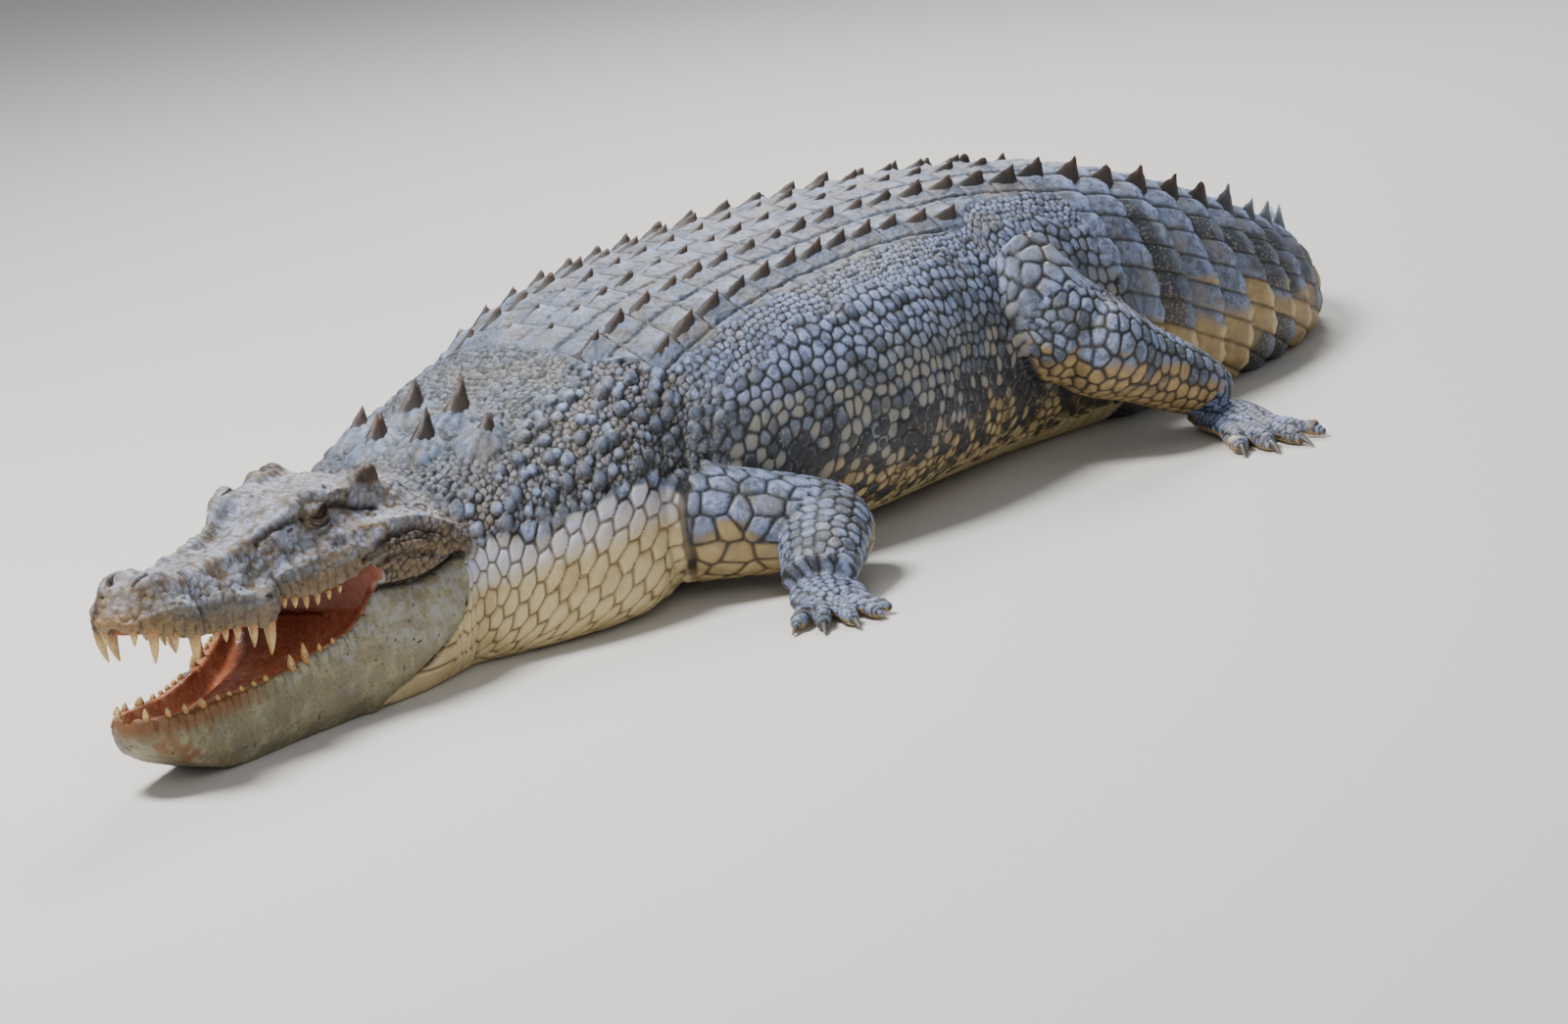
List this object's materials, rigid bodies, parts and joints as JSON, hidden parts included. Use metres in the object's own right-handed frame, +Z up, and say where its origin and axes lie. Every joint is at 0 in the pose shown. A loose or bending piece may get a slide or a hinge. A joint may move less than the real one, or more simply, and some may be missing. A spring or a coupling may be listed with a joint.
{
  "type": "saltwater crocodile",
  "caption": "Life-size still model of a big saltwater crocodile lying flat on its belly with open jaws, splayed legs and a keeled tail curled behind it.",
  "frame": {"origin": "on the floor, under the middle of the model's box", "axes": "+Z up, the head points to -X and a little to +Y, the animal's left side faces -Y, and the tail curls to +Y"},
  "size_m": [3.2232, 1.8024, 0.4972],
  "materials": {
    "skin_back": "dry scaly hide, blue-grey over the back with black and tan blotches, satin on the keels",
    "skin_head": "dry close-grained hide, grey-tan above and pale cream along the jaw, satin",
    "skin_limb": "dry scaly hide, grey above and tan below, matt to satin",
    "mouth": "moist pink to orange lining, semi-gloss",
    "eye": "wet dark eye, glossy",
    "claw": "dark horn, satin"
  },
  "bodies": {
    "root": {"neck": "skin_back", "chest": "skin_back", "belly": "skin_back", "hips": "skin_back", "tail_1": "skin_back", "tail_2": "skin_back", "tail_3": "skin_back", "tail_4": "skin_back", "tail_5": "skin_back", "head_upper": "skin_head", "lower_jaw": "skin_head", "tongue": "mouth", "eye_left": "eye", "eye_right": "eye", "upper_arm_left": "skin_limb", "forearm_left": "skin_limb", "hand_left": "skin_limb", "hand_left_claw_1": "claw", "hand_left_claw_2": "claw", "hand_left_claw_3": "claw", "upper_arm_right": "skin_limb", "forearm_right": "skin_limb", "hand_right": "skin_limb", "hand_right_claw_1": "claw", "hand_right_claw_2": "claw", "hand_right_claw_3": "claw", "thigh_left": "skin_limb", "shank_left": "skin_limb", "foot_left": "skin_limb", "foot_left_claw_1": "claw", "foot_left_claw_2": "claw", "foot_left_claw_3": "claw", "thigh_right": "skin_limb", "shank_right": "skin_limb", "foot_right": "skin_limb", "foot_right_claw_1": "claw", "foot_right_claw_2": "claw", "foot_right_claw_3": "claw"}
  },
  "joints": []
}
